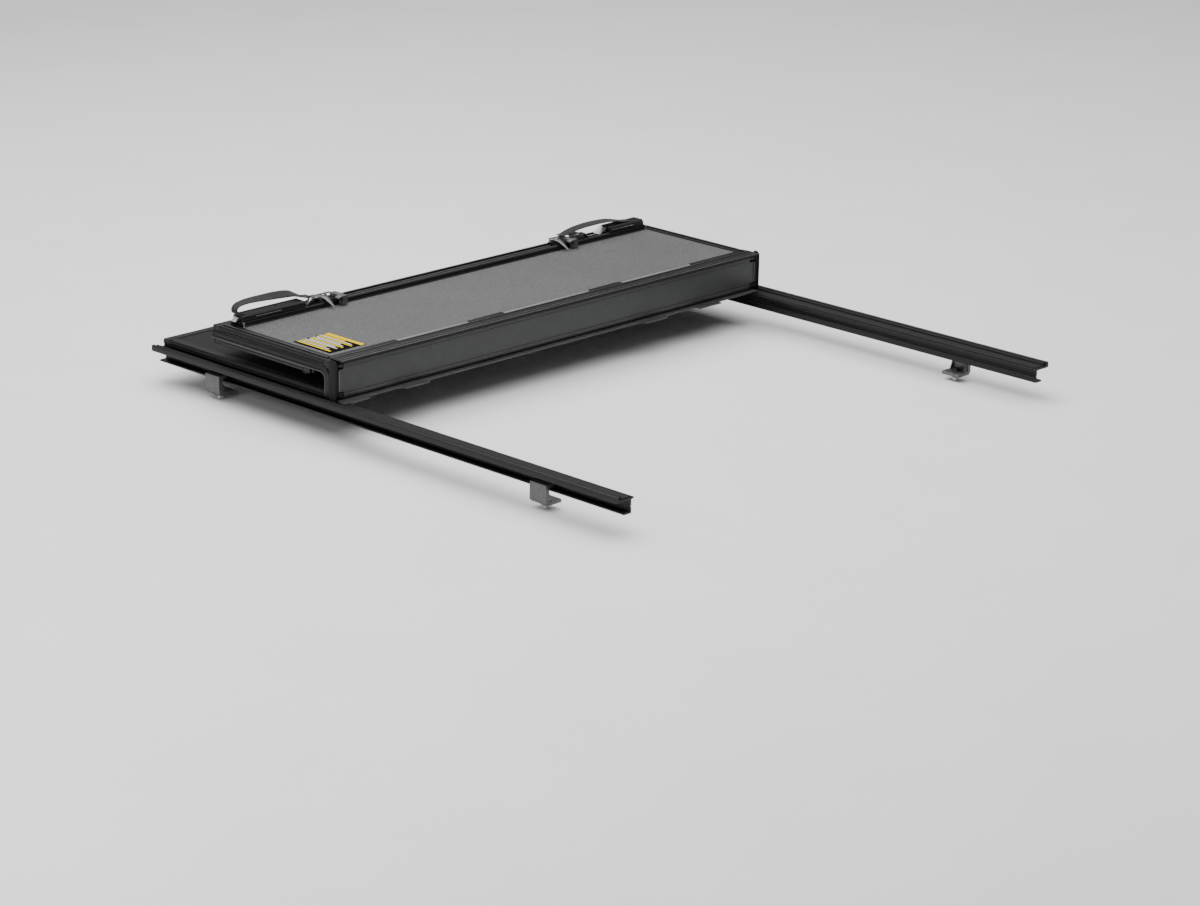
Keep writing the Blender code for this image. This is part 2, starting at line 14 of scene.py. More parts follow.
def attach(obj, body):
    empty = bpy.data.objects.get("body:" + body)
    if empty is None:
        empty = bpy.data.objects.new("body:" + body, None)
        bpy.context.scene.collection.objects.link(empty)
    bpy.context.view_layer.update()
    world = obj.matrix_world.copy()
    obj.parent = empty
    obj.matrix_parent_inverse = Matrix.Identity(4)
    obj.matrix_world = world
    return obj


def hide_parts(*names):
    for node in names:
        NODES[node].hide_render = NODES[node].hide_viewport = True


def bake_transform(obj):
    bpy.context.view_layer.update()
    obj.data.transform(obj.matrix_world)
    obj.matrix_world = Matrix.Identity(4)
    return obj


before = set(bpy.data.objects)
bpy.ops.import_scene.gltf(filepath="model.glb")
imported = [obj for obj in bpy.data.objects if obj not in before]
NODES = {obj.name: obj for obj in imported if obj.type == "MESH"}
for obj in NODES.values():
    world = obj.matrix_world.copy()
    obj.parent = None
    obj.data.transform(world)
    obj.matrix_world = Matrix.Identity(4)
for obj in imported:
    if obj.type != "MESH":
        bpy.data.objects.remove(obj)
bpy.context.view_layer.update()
MM = 0.001

# Axes of the fold hinges, mid height of the tail panel, half width over the panels, and the slam bolts' line
FOLD_Y = 148.5
LOWER_Z = 98.5
UPPER_Z = 171.5
TAIL_Z = 146.5
HALF_W = 707.0
BOLT_Y = 520.5
# Outer edge and top of the side rails
RAIL_SPAN = 729.5
RAIL_TOP = 92.0

UPPER_FOLD = (FOLD_Y, UPPER_Z)
LOWER_FOLD = (FOLD_Y, LOWER_Z)
LATCH = (BOLT_Y, UPPER_Z)
SIDES = (("left", -1), ("right", 1))


# ---------------------------------------------------------------- camera

CAMERA_AZ, CAMERA_EL, CAMERA_ROLL = -45.7811, 18.0995, -0.8823
CAMERA_PLACE = Vector((-5.8162, -5.6662, 2.4985))
# Focal length and frame width, in one shared unit
FOCAL, FRAME_WIDTH = 3592.3, 1200.0
SENSOR_WIDTH = 36.0


def camera_rotation():
    az, el, roll = (radians(v) for v in (CAMERA_AZ, CAMERA_EL, CAMERA_ROLL))
    back = Vector((sin(az) * cos(el), -cos(az) * cos(el), sin(el)))
    fwd = -back
    right = fwd.cross(Vector((0, 0, 1))).normalized()
    down = fwd.cross(right)
    across = cos(roll) * right + sin(roll) * down
    below = -sin(roll) * right + cos(roll) * down
    return Matrix((across, -below, -fwd)).transposed()


camera_data = bpy.data.cameras.new("camera")
camera_data.sensor_width = SENSOR_WIDTH
camera_data.sensor_fit = "HORIZONTAL"
camera_data.lens = SENSOR_WIDTH * FOCAL / FRAME_WIDTH
camera_data.clip_end = 60
camera = bpy.data.objects.new("camera", camera_data)
bpy.context.scene.collection.objects.link(camera)
camera.matrix_world = Matrix.Translation(CAMERA_PLACE) @ camera_rotation().to_4x4()
bpy.context.scene.camera = camera


# ---------------------------------------------------------------- materials

class Tree:
    """Small helper for building one procedural material."""

    def __init__(self, name, roughness=0.5, metallic=0.0, **sockets):
        self.material = bpy.data.materials.new(name)
        self.material.use_nodes = True
        self.nodes = self.material.node_tree.nodes
        self.links = self.material.node_tree.links
        self.shader = self.nodes["Principled BSDF"]
        self.shader.inputs["Roughness"].default_value = roughness
        self.shader.inputs["Metallic"].default_value = metallic
        for key, value in sockets.items():
            self.shader.inputs[key.replace("_", " ")].default_value = value
        self.coords = self.nodes.new("ShaderNodeTexCoord").outputs["Object"]

    def link(self, a, b):
        self.links.new(a, b)

    def feed(self, socket, value):
        """Links another node's output to a socket, or sets a constant directly on it."""
        if isinstance(value, bpy.types.NodeSocket):
            self.link(value, socket)
        elif isinstance(value, tuple):
            socket.default_value = (*value, 1)
        else:
            socket.default_value = value

    def stretched(self, scale):
        mapping = self.nodes.new("ShaderNodeMapping")
        mapping.inputs["Scale"].default_value = scale
        self.link(self.coords, mapping.inputs["Vector"])
        return mapping.outputs["Vector"]

    def noise(self, scale, detail=3.0, rough=0.55, stretch=None):
        node = self.nodes.new("ShaderNodeTexNoise")
        node.inputs["Scale"].default_value = scale
        node.inputs["Detail"].default_value = detail
        node.inputs["Roughness"].default_value = rough
        self.link(self.stretched(stretch) if stretch else self.coords, node.inputs["Vector"])
        return node.outputs["Fac"]

    def cells(self, scale):
        node = self.nodes.new("ShaderNodeTexVoronoi")
        node.inputs["Scale"].default_value = scale
        self.link(self.coords, node.inputs["Vector"])
        return node.outputs["Distance"]

    def wave(self, scale, axis):
        node = self.nodes.new("ShaderNodeTexWave")
        node.bands_direction = axis
        node.inputs["Scale"].default_value = scale
        self.link(self.coords, node.inputs["Vector"])
        return node.outputs["Fac"]

    def ramp(self, value, stops):
        node = self.nodes.new("ShaderNodeValToRGB")
        elements = node.color_ramp.elements
        while len(elements) < len(stops):
            elements.new(0.5)
        for element, (place, colour) in zip(elements, stops):
            element.position = place
            element.color = (*colour, 1) if isinstance(colour, tuple) else (colour, colour, colour, 1)
        self.link(value, node.inputs["Fac"])
        return node.outputs["Color"]

    def mix(self, factor, a, b):
        node = self.nodes.new("ShaderNodeMix")
        node.data_type = "RGBA"
        for key, value in (("Factor", factor), ("A", a), ("B", b)):
            self.feed(node.inputs[key], value)
        return node.outputs["Result"]

    def math(self, operation, a, b):
        node = self.nodes.new("ShaderNodeMath")
        node.operation = operation
        for socket, value in zip(node.inputs, (a, b)):
            self.feed(socket, value)
        return node.outputs["Value"]

    def colour(self, value):
        self.link(value, self.shader.inputs["Base Color"])

    def rough(self, value, low, high):
        self.link(self.ramp(value, [(0.25, low), (0.75, high)]), self.shader.inputs["Roughness"])

    def bump(self, height, distance_mm, strength=1.0, under=None):
        node = self.nodes.new("ShaderNodeBump")
        node.inputs["Strength"].default_value = strength
        node.inputs["Distance"].default_value = distance_mm * MM
        self.link(height, node.inputs["Height"])
        if under is not None:
            self.link(under, node.inputs["Normal"])
        self.link(node.outputs["Normal"], self.shader.inputs["Normal"])
        return node.outputs["Normal"]


def powder_coat(name, dark, light, low, high, specular=0.5, marks=1.0):
    """Fine-textured powder coat with faint handling marks."""
    tree = Tree(name, Specular_IOR_Level=specular)
    cloudy = tree.noise(9, 4)
    scuffs = tree.noise(60, 5, 0.7, (1, 6, 1))
    wear = tree.ramp(scuffs, [(0.45, 0.0), (0.8, marks)])
    base = tree.ramp(cloudy, [(0.3, dark), (0.7, light)])
    worn = tuple(1.6 * c for c in light)
    tree.colour(tree.mix(wear, base, worn))
    tree.rough(cloudy, low, high)
    under = tree.bump(tree.noise(1400, 2), 0.12, 0.35)
    tree.bump(tree.noise(260, 3), 0.1, 0.2, under)
    return tree.material


def pebbled_skin():
    """Mid-grey panel skin with a dark fleck and a pebbled surface."""
    tree = Tree("pebbled_skin", Specular_IOR_Level=0.35)
    cloudy = tree.noise(5, 3)
    speckle = tree.noise(400, 3, 0.75)
    base = tree.ramp(cloudy, [(0.3, (0.112, 0.113, 0.115)), (0.7, (0.126, 0.127, 0.129))])
    fleck = (0.034, 0.034, 0.035)
    tree.colour(tree.mix(tree.ramp(speckle, [(0.38, 1.0), (0.6, 0.0)]), base, fleck))
    tree.rough(speckle, 0.55, 0.72)
    under = tree.bump(tree.cells(430), 0.6, 0.6)
    tree.bump(speckle, 0.4, 0.5, under)
    return tree.material


def rubber(name, dark, light, low, high):
    """Extruded rubber with drawn lines along it and a little dust."""
    tree = Tree(name, Specular_IOR_Level=0.22)
    drawn = tree.noise(80, 3, 0.6, (1, 0.08, 1))
    dusty = tree.noise(25, 4)
    tree.colour(tree.mix(tree.ramp(dusty, [(0.5, 0.0), (0.8, 0.5)]), dark, light))
    tree.rough(dusty, low, high)
    tree.bump(drawn, 0.25, 0.4)
    return tree.material


def zinc():
    """Bright zinc plate over brushed steel."""
    tree = Tree("zinc_steel", metallic=1.0)
    cloudy = tree.noise(120, 4)
    tree.colour(tree.ramp(cloudy, [(0.3, (0.5, 0.5, 0.49)), (0.7, (0.6, 0.6, 0.585))]))
    tree.rough(cloudy, 0.26, 0.38)
    tree.bump(tree.noise(700, 3, 0.7, (0.1, 1, 1)), 0.05, 0.3)
    return tree.material


def cast_metal():
    """Dark grey die-cast metal with a grainy skin."""
    tree = Tree("cast_grey", metallic=0.6)
    cloudy = tree.noise(70, 4)
    tree.colour(tree.ramp(cloudy, [(0.3, (0.095, 0.095, 0.098)), (0.75, (0.135, 0.135, 0.138))]))
    tree.rough(cloudy, 0.38, 0.48)
    tree.bump(tree.noise(900, 3), 0.12, 0.4)
    return tree.material


def woven():
    """Flat webbing: ribs across, with a fainter rib along, and fuzz."""
    tree = Tree("webbing", Sheen_Weight=0.12, Sheen_Roughness=0.5, Specular_IOR_Level=0.3)
    rows = tree.wave(330, "X")
    ends = tree.wave(400, "Y")
    weave = tree.math("MULTIPLY", rows, ends)
    fuzz = tree.noise(1500, 3)
    thread = tree.mix(fuzz, weave, tree.math("ADD", weave, 0.4))
    tree.colour(tree.ramp(thread, [(0.1, (0.004, 0.004, 0.0045)), (0.9, (0.018, 0.0185, 0.019))]))
    tree.rough(fuzz, 0.65, 0.9)
    under = tree.bump(weave, 0.5, 0.7)
    tree.bump(fuzz, 0.15, 0.4, under)
    return tree.material


def printed(name, colour):
    """Matt print on film, slightly uneven."""
    tree = Tree(name, Specular_IOR_Level=0.02)
    grain = tree.noise(400, 3)
    thin = tuple(0.72 * c for c in colour)
    tree.colour(tree.mix(tree.ramp(grain, [(0.35, 0.0), (0.75, 0.3)]), colour, thin))
    tree.rough(grain, 0.6, 0.75)
    tree.bump(grain, 0.05, 0.3)
    return tree.material


BLACK = powder_coat("black_powder_coat", (0.005, 0.005, 0.0055), (0.008, 0.008, 0.0085), 0.3, 0.42, 0.2)
COAT = powder_coat("fold_panel_coat", (0.033, 0.034, 0.035), (0.036, 0.037, 0.038), 0.4, 0.46, 0.3, 0.35)
LEDGE = powder_coat("ledge_coat", (0.035, 0.035, 0.037), (0.05, 0.05, 0.052), 0.35, 0.5)
# Tail frames get a grey lighter than the same black frames elsewhere: painted highlight on the tail frame
TAIL_LIT_COAT = powder_coat("tail_frame_lit_coat", (0.013, 0.013, 0.0135), (0.019, 0.019, 0.0195), 0.36, 0.5, 0.3)
# Pale grey for thin beads and ribs on the black extrusions: painted highlight lines along their edges
PAINTED_HIGHLIGHT_COAT = powder_coat("painted_highlight_coat", (0.07, 0.07, 0.072), (0.1, 0.1, 0.102), 0.25, 0.35, 0.5)
# Light grey for the lip between the tabs and the cover's top edge: painted highlight, not the parts' own
# colour
PAINTED_HIGHLIGHT_LIP = powder_coat("painted_highlight_lip", (0.13, 0.131, 0.134), (0.17, 0.171, 0.174), 0.3, 0.4, 0.5)
UNDERSKIN = powder_coat("weather_skin", (0.007, 0.007, 0.0075), (0.011, 0.011, 0.0115), 0.45, 0.6, 0.12)
SKIN = pebbled_skin()
RUBBER = rubber("black_rubber", (0.006, 0.006, 0.0065), (0.018, 0.018, 0.019), 0.32, 0.5)
# Lighter rubber for the skirt's lower bead: painted highlight line along the lip
PAINTED_HIGHLIGHT_RUBBER = rubber("skirt_highlight_bead", (0.07, 0.07, 0.072), (0.1, 0.1, 0.102), 0.3, 0.45)
FOAM = rubber("seal_foam", (0.008, 0.008, 0.008), (0.022, 0.022, 0.022), 0.6, 0.8)
PLASTIC = powder_coat("black_nylon", (0.006, 0.006, 0.0065), (0.011, 0.011, 0.0115), 0.32, 0.46, 0.22)
ZINC = zinc()
CAST = cast_metal()
WEBBING = woven()
FILM = printed("label_film", (0.004, 0.004, 0.004))
YELLOW = printed("label_yellow", (0.66, 0.46, 0.006))
WHITE = printed("label_white", (0.52, 0.52, 0.5))


# ---------------------------------------------------------------- mesh helpers

ROUNDED = {"segments": 2, "profile": 0.7, "affect": "EDGES"}
CHAMFERED = {"segments": 2, "affect": "EDGES"}
# Bend above which a fillet leaves a point alone, its steps, and the share of a side that it may take
STRAIGHT = radians(165)
FILLET_STEPS = 3
MOST_OF_SIDE = 0.45


def add(name, bm, material, body=None, smooth_deg=32, nodes=()):
    """Finishes a bmesh in millimetres as a piece on a CAD body."""
    bmesh.ops.remove_doubles(bm, verts=bm.verts, dist=1e-4)
    bmesh.ops.recalc_face_normals(bm, faces=bm.faces)
    bmesh.ops.scale(bm, vec=(MM, MM, MM), verts=bm.verts)
    mesh = bpy.data.meshes.new(name)
    bm.to_mesh(mesh)
    bm.free()
    mesh.materials.append(material)
    mesh.shade_smooth()
    mesh.set_sharp_from_angle(angle=radians(smooth_deg))
    obj = bpy.data.objects.new(name, mesh)
    bpy.context.scene.collection.objects.link(obj)
    if body:
        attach(obj, body)
    if nodes:
        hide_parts(*nodes)
    return obj


def arc(cx, cy, r, a0, a1, steps):
    turns = [radians(a0 + (a1 - a0) * i / steps) for i in range(steps + 1)]
    return [(cx + r * cos(t), cy + r * sin(t)) for t in turns]


def fillet(points, radius):
    """Rounds the corners of a closed outline of 2-D points."""
    points = [Vector(p) for p in points]
    out = []
    count = len(points)
    for i, here in enumerate(points):
        to_a = points[i - 1] - here
        to_b = points[(i + 1) % count] - here
        turn = to_a.angle(to_b)
        if turn > STRAIGHT or radius <= 0:
            out.append(here)
            continue
        half = turn / 2
        cut = min(radius / tan(half), MOST_OF_SIDE * to_a.length, MOST_OF_SIDE * to_b.length)
        r = cut * tan(half)
        bisector = (to_a.normalized() + to_b.normalized()).normalized()
        centre = here + bisector * (r / sin(half))
        start = here + to_a.normalized() * cut - centre
        end = here + to_b.normalized() * cut - centre
        sweep = start.angle_signed(end)
        a0 = atan2(start.y, start.x)
        for k in range(FILLET_STEPS + 1):
            a = a0 - sweep * k / FILLET_STEPS
            out.append(centre + r * Vector((cos(a), sin(a))))
    return out


def loft(bm, rings):
    """Closed skin over rings of points, with a cap at each end."""
    rows = [[bm.verts.new(p) for p in ring] for ring in rings]
    count = len(rows[0])
    for a, b in zip(rows, rows[1:]):
        for i in range(count):
            j = (i + 1) % count
            bm.faces.new((a[i], a[j], b[j], b[i]))
    bm.faces.new(rows[0])
    bm.faces.new(rows[-1])


def swept(name, outline, place, ends, material, body, radius=0.5, nodes=()):
    """Solid of one rounded outline swept between two stations; place(p, q, s) gives a point."""
    outline = fillet(outline, radius) if radius else [Vector(p) for p in outline]
    bm = bmesh.new()
    loft(bm, [[place(p.x, p.y, s) for p in outline] for s in ends])
    return add(name, bm, material, body, nodes=nodes)


def corners(side, x, p, h, origin):
    """Low and high corners of a block: x outboard, and p and h from the origin's y and z."""
    across = sorted((side * x[0], side * x[1]))
    return ((across[0], origin[0] + p[0], origin[1] + h[0]),
            (across[1], origin[0] + p[1], origin[1] + h[1]))


def block_into(bm, low, high, bevel=0.0):
    made = bmesh.ops.create_cube(bm, size=1.0)["verts"]
    for v in made:
        v.co = Vector([low[i] if v.co[i] < 0 else high[i] for i in range(3)])
    if bevel:
        edges = {e for v in made for e in v.link_edges}
        bmesh.ops.bevel(bm, geom=list(edges), offset=bevel, **ROUNDED)


def slab(name, box, material, body, bevel=0.6, nodes=()):
    bm = bmesh.new()
    block_into(bm, *box, bevel)
    return add(name, bm, material, body, nodes=nodes)


def ring_points(centre, axis, radius, sides):
    axis = Vector(axis).normalized()
    across = axis.orthogonal().normalized()
    other = axis.cross(across)
    turns = [2 * pi * i / sides for i in range(sides)]
    return [Vector(centre) + radius * (across * cos(t) + other * sin(t)) for t in turns]


def turned_into(bm, centre, axis, profile, sides=20):
    """Adds a turned solid; profile is (distance along the axis, radius) from base to top."""
    axis = Vector(axis).normalized()
    loft(bm, [ring_points(Vector(centre) + axis * h, axis, max(r, 0.01), sides) for h, r in profile])


def turned(name, centre, axis, profile, material, body, sides=20):
    bm = bmesh.new()
    turned_into(bm, centre, axis, profile, sides)
    return add(name, bm, material, body)


def screw(name, centre, axis, radius, material, body, height=None):
    """Domed screw head with a round socket, standing proud of its surface."""
    height = height or radius * 0.55
    socket = radius * 0.42
    profile = [(-0.4, radius), (height * 0.35, radius), (height * 0.8, radius * 0.82), (height, socket),
               (height * 0.25, socket * 0.9)]
    bm = bmesh.new()
    turned_into(bm, centre, axis, profile, 18)
    return add(name, bm, material, body, smooth_deg=40)


# ---------------------------------------------------------------- side rails

# Sections as (inboard of the rail's outer edge, height over its top)
RAIL = [(0, -14), (0, -1.4), (0.9, -0.5), (1.8, -0.5), (2.4, 0), (3.2, 0), (3.8, -0.8), (5.0, -0.8), (5.6, 0),
        (6.4, 0), (7.0, -0.7), (8.6, -0.9), (9, -2.2), (9, -9), (54, -9), (54, -12), (46, -13.2), (46, -19),
        (44.8, -20), (44.8, -23), (46, -24), (46, -27), (49, -28.5), (49, -31), (46, -32.5), (46, -44),
        (24, -44), (24, -40), (42, -40), (42, -14)]
RAIL_CAP = [(0, -14), (0, 0), (9, 0), (9, -9), (54, -9), (54, -12), (46, -13), (46, -44), (24, -44),
            (24, -40), (42, -40), (42, -14)]
GASKET = [(10.2, -8.6), (10.2, -6), *arc(14.6, -5.4, 4.4, 180, 0, 12), (19, -6.8), (22, -7.4), (48, -7.4),
          (48, -8.6)]
RAIL_HALF = 762.4
GASKET_HALF = 762
CAP_SEAT, CAP_THICK = 762.6, 2.4

CLAMP_Y = {"rear": -520, "front": 560}
CLAMP_HOOK = [(13.6, -30), (41, -30), (41, -39.6), (23.6, -39.6), (23.6, -70), (60, -70), (60, -78),
              (20, -78), (13.6, -72)]
CLAMP_GUSSET = [(23.2, -46), (24.2, -46), (34, -69.8), (23.2, -69.8)]
CLAMP_HALF, GUSSET_AT, GUSSET_HALF = 25, 21, 1.5
TOOTH_X, TOOTH_H = (RAIL_SPAN - 58, RAIL_SPAN - 52), (-70.2, -69.2)
TOOTH_COUNT, TOOTH_FIRST, TOOTH_PITCH, TOOTH_HALF = 6, -20, 8, 1.2
SCREW_INSET = 38
THREAD_CORE, THREAD_CREST, THREAD_TURNS = 3.7, 4.2, 24
# Depths under the rail's top of the thread's start, the collar and the pad
THREAD_AT, COLLAR_AT, PAD_AT = 87.5, 79.6, 67
SCREW_COLLAR = [(0, 9.6), (0.3, 10), (1.2, 10), (1.5, 9.6)]
SCREW_HEAD = ((91.9, 7.4), (91.2, 8.6), (85.4, 8.6), (84.6, 7.6))
PRESSURE_PAD = [(0, 8.2), (0.8, 9), (3.6, 9), (4.2, 8.4), (4.4, 6), (4.9, 5.6)]
UP = (0, 0, 1)


def rail_place(side):
    """Place for a rail section swept along the bed."""
    def place(d, h, y):
        return Vector((side * (RAIL_SPAN - d), y, RAIL_TOP + h))
    return place


def clamp(end, word, side, y):
    """Extruded clamp with a hooked top, serrated jaw and two stiffening ribs, and its jaw screw and pad."""
    place = rail_place(side)
    tag = f"{end}_{word}"
    swept(f"clamp_body_{tag}", CLAMP_HOOK, place, (y - CLAMP_HALF, y + CLAMP_HALF), CAST, "root", 1.6,
          [f"rail_clamp_{tag}"])
    for k in range(TOOTH_COUNT):
        middle = y + TOOTH_FIRST + TOOTH_PITCH * k
        span = (middle - TOOTH_HALF, middle + TOOTH_HALF)
        box = corners(side, TOOTH_X, span, TOOTH_H, (0, RAIL_TOP))
        slab(f"clamp_tooth_{tag}_{k}", box, CAST, "root", 0.3)
    for letter, way in (("a", -1), ("b", 1)):
        middle = y + GUSSET_AT * way
        span = (middle - GUSSET_HALF, middle + GUSSET_HALF)
        swept(f"clamp_rib_{tag}_{letter}", CLAMP_GUSSET, place, span, CAST, "root", 0.8)
    x = side * (RAIL_SPAN - SCREW_INSET)
    thread = [(0, THREAD_CORE)]
    for k in range(THREAD_TURNS):
        thread += [(0.2 + k, THREAD_CORE), (0.7 + k, THREAD_CREST)]
    bm = bmesh.new()
    turned_into(bm, (x, y, RAIL_TOP - THREAD_AT), UP, thread, 20)
    turned_into(bm, (x, y, RAIL_TOP - COLLAR_AT), UP, SCREW_COLLAR, 28)
    loft(bm, [ring_points((x, y, RAIL_TOP - h), UP, r, 6) for h, r in SCREW_HEAD])
    add(f"clamp_screw_{tag}", bm, ZINC, "root", 36, [f"clamp_bolt_{tag}"])
    turned(f"clamp_pad_{tag}", (x, y, RAIL_TOP - PAD_AT), UP, PRESSURE_PAD, RUBBER, "root", 28)


for word, side in SIDES:
    place = rail_place(side)
    swept("rail_body_" + word, RAIL, place, (-RAIL_HALF, RAIL_HALF), BLACK, "root", 0.5, ["rail_" + word])
    for end, way in (("rear", -1), ("front", 1)):
        tip = way * (CAP_SEAT + CAP_THICK)
        swept(f"rail_cap_{end}_{word}", RAIL_CAP, place, (way * CAP_SEAT, tip), PLASTIC, "root", 1.2)
        screw(f"rail_cap_screw_{end}_{word}", place(44, -28, tip), (0, way, 0), 1.6, ZINC, "root")
    swept("rail_gasket_" + word, GASKET, place, (-GASKET_HALF, GASKET_HALF), FOAM, "root", 0.4,
          ["rail_seal_" + word])
    for end, y in CLAMP_Y.items():
        clamp(end, word, side, y)


# ---------------------------------------------------------------- panel edge frames

def hinge_place(z, flip):
    """Place for an outline of (distance from the fold axis, height), swept across the vehicle."""
    def place(u, h, x):
        return Vector((x, FOLD_Y + u, z + flip * h))
    return place


def side_place(side, mid_z, flip):
    """Place for an outline of (inboard of the panel's side, height), swept along the vehicle."""
    def place(s, h, y):
        return Vector((side * (HALF_W - s), y, mid_z + flip * h))
    return place


EDGE = [(31, -8), (31, -9.6), (24, -9.6), (23.4, -8.9), (22.2, -8.9), (21.6, -9.8), (19, -9.8), (18.2, -12.4),
        (13.4, -12.4), (12.6, -9.4), (10.5, -8.2), (8.5, -8.2), (7.5, -9.6), (3.6, -9.4), (1.2, -7.2),
        (0.2, -5.6), (0.2, -2.4), (1.8, -1.8), (1.8, -0.4), (0.2, 0.2), (0.2, 6), (3, 9.4), (24, 9.4),
        (24, 8), (11, 8), (11, -8)]
EDGE_SPANS = (("front", LOWER_Z, 1, (177, 724.5), "root", BLACK),
              ("middle", UPPER_Z, -1, (177, 541.5), "middle_panel", BLACK),
              ("tail", TAIL_Z, 1, (247.5, 541.5), "tail_panel", TAIL_LIT_COAT))
# Pale beads along the middle frame's ridges: painted highlight lines
EDGE_BEADS = ((HALF_W - 18.9, 9.9), (HALF_W - 13.0, 12.4))

for prefix, z, flip, ends, body, coat in EDGE_SPANS:
    for word, side in SIDES:
        swept(f"{prefix}_edge_{word}", EDGE, side_place(side, z, flip), ends, coat, body, 0.4,
              [f"{prefix}_frame_{word}"])
for word, side in SIDES:
    for k, (x, h) in enumerate(EDGE_BEADS):
        box = corners(side, (x, x + 1.2), (177.5, 541), (h - 0.9, h + 0.2), (0, UPPER_Z))
        slab(f"middle_edge_bead_{k}_{word}", box, PAINTED_HIGHLIGHT_COAT, "middle_panel", 0.3)


# ---------------------------------------------------------------- hinge extrusions with their ledges and tabs

STRIP = [(10, -9.8), (10, 9.5), (28, 9.5), (28, 8.1), (16, 8.1), (16, -8), (24, -8), (24, -9.5), (17, -9.5),
         (16.4, -10.4), (16.2, -12.4), (15.4, -13), (12.6, -13), (12.2, -11.6), (9.4, -11.6), (9, -13),
         (-3, -13), (-3.6, -12.2), (-6, -12.2), (-6.6, -13), (-9.4, -13), (-10, -12.2), (-12.4, -12.2),
         (-13, -13), (-20.2, -13), (-21, -12.2), (-21, -10), (-18.4, -9.8), (-18.4, -10.6), (-16.4, -10.6),
         (-16.4, -9.8), (-14, -9.8), (-14, -10.6), (-12, -10.6), (-12, -9.8)]
STRIP_FLANGE = [(10.2, -9.8), (10.2, 9.5), (28, 9.5), (28, 8.1), (16, 8.1), (16, -8), (24, -8), (24, -9.8)]
STRIP_KINDS = (("middle_strip", UPPER_Z, -1, BLACK, "middle_panel", "middle_hinge_extrusion"),
               ("front_strip", LOWER_Z, 1, LEDGE, "root", "front_hinge_extrusion"))
NOSE_END = 697.0
STRIP_END = 706.8
# (name, distance from the fold axis, width) of the raised beads on the middle panel's extrusion, pale grey as
# painted highlight lines
STRIP_BEADS = (("nose_bead", -19.4, 1.5), ("groove_bead", -7.9, 1.3), ("rear_bead", 14.0, 1.2))
BEAD_H = (12.3, 13.35)
# Dark tabs over the skin's edge, and the lip between them, whose pale grey is a painted highlight
TAB_SPANS = ((-STRIP_END, -480), (-255, -140), (147, 258), (503, STRIP_END))
TAB_ROOT, TAB_TIP, TAB_SKEW, TAB_H = 23.6, 39, 3, (8.0, 9.8)
LIP_SPANS = tuple((a[1] + 1, b[0] - 1) for a, b in zip(TAB_SPANS, TAB_SPANS[1:]))
LEDGE_TAB_X = (-661, -475, 317, 511)
# (distance from the fold axis, half width) of a ledge tab's tip and root
LEDGE_TAB_TIP, LEDGE_TAB_ROOT, LEDGE_TAB_H = (-34, 38), (-20, 40), (-13, -10.4)
LUG_X = (681.4, 695)
LUG_OUTLINE = arc(0, 0, 9, 90, 270, 18) + [(11, -9), (11, 9)]
# Bend, in radians, over which a lug's edge is chamfered
LUG_SHARP = 1.2
PIN_CAP = [(0, 4.6), (1.2, 4.6), (1.9, 4.0), (2.2, 2.8), (1.7, 2.4)]
PIN_CAP_SEAT = 694.4


def tab(name, outline, z, heights, bevel, material, body):
    """Flat tab: an outline of (x, distance from the fold axis) between two heights."""
    bm = bmesh.new()
    loft(bm, [[Vector((x, FOLD_Y + u, z + h)) for x, u in outline] for h in heights])
    bmesh.ops.bevel(bm, geom=list(bm.edges), offset=bevel, **ROUNDED)
    add(name, bm, material, body)


for name, z, flip, material, body, node in STRIP_KINDS:
    place = hinge_place(z, flip)
    swept(name, STRIP, place, (-NOSE_END, NOSE_END), material, body, 0.35, [node])
    for word, side in SIDES:
        ends = sorted((side * (NOSE_END + 0.05), side * STRIP_END))
        swept(f"{name}_end_{word}", STRIP_FLANGE, place, ends, BLACK, body, 0.35)
for name, u, width in STRIP_BEADS:
    box = corners(1, (-NOSE_END, NOSE_END), (u - width / 2, u + width / 2), BEAD_H, UPPER_FOLD)
    slab(name, box, PAINTED_HIGHLIGHT_COAT, "middle_panel", 0.3)
for k, (x0, x1) in enumerate(TAB_SPANS):
    skew0 = 0 if x0 == -STRIP_END else TAB_SKEW
    skew1 = 0 if x1 == STRIP_END else TAB_SKEW
    outline = [(x0 + skew0, TAB_TIP), (x1 - skew1, TAB_TIP), (x1, TAB_ROOT), (x0, TAB_ROOT)]
    tab(f"strip_tab_{k}", outline, UPPER_Z, TAB_H, 0.45, BLACK, "middle_panel")
# Lip strips and their edges in pale grey: painted highlight lines
for k, span in enumerate(LIP_SPANS):
    box = corners(1, span, (28.4, 35), (7.6, 8.9), UPPER_FOLD)
    slab(f"strip_lip_{k}", box, PAINTED_HIGHLIGHT_LIP, "middle_panel", 0.5)
    box = corners(1, span, (35.6, 36.8), (7.6, 8.7), UPPER_FOLD)
    slab(f"strip_lip_edge_{k}", box, PAINTED_HIGHLIGHT_LIP, "middle_panel", 0.3)
for k, x in enumerate(LEDGE_TAB_X):
    (tip, narrow), (root, wide) = LEDGE_TAB_TIP, LEDGE_TAB_ROOT
    outline = [(x - narrow, tip), (x + narrow, tip), (x + wide, root), (x - wide, root)]
    tab(f"ledge_tab_{k}", outline, LOWER_Z, LEDGE_TAB_H, 0.5, LEDGE, "root")
for word, side in SIDES:
    for tag, z, body in (("lower", LOWER_Z, "root"), ("upper", UPPER_Z, "middle_panel")):
        bm = bmesh.new()
        loft(bm, [[Vector((side * x, FOLD_Y + u, z + h)) for u, h in LUG_OUTLINE] for x in LUG_X])
        sharp = [e for e in bm.edges if e.is_manifold and e.calc_face_angle(0) > LUG_SHARP]
        bmesh.ops.bevel(bm, geom=sharp, offset=0.5, **CHAMFERED)
        add(f"hinge_lug_{tag}_{word}", bm, BLACK, body)
        seat = (side * PIN_CAP_SEAT, FOLD_Y, z)
        turned(f"hinge_pin_cap_{tag}_{word}", seat, (side, 0, 0), PIN_CAP, BLACK, body, 20)


# ---------------------------------------------------------------- fold panel

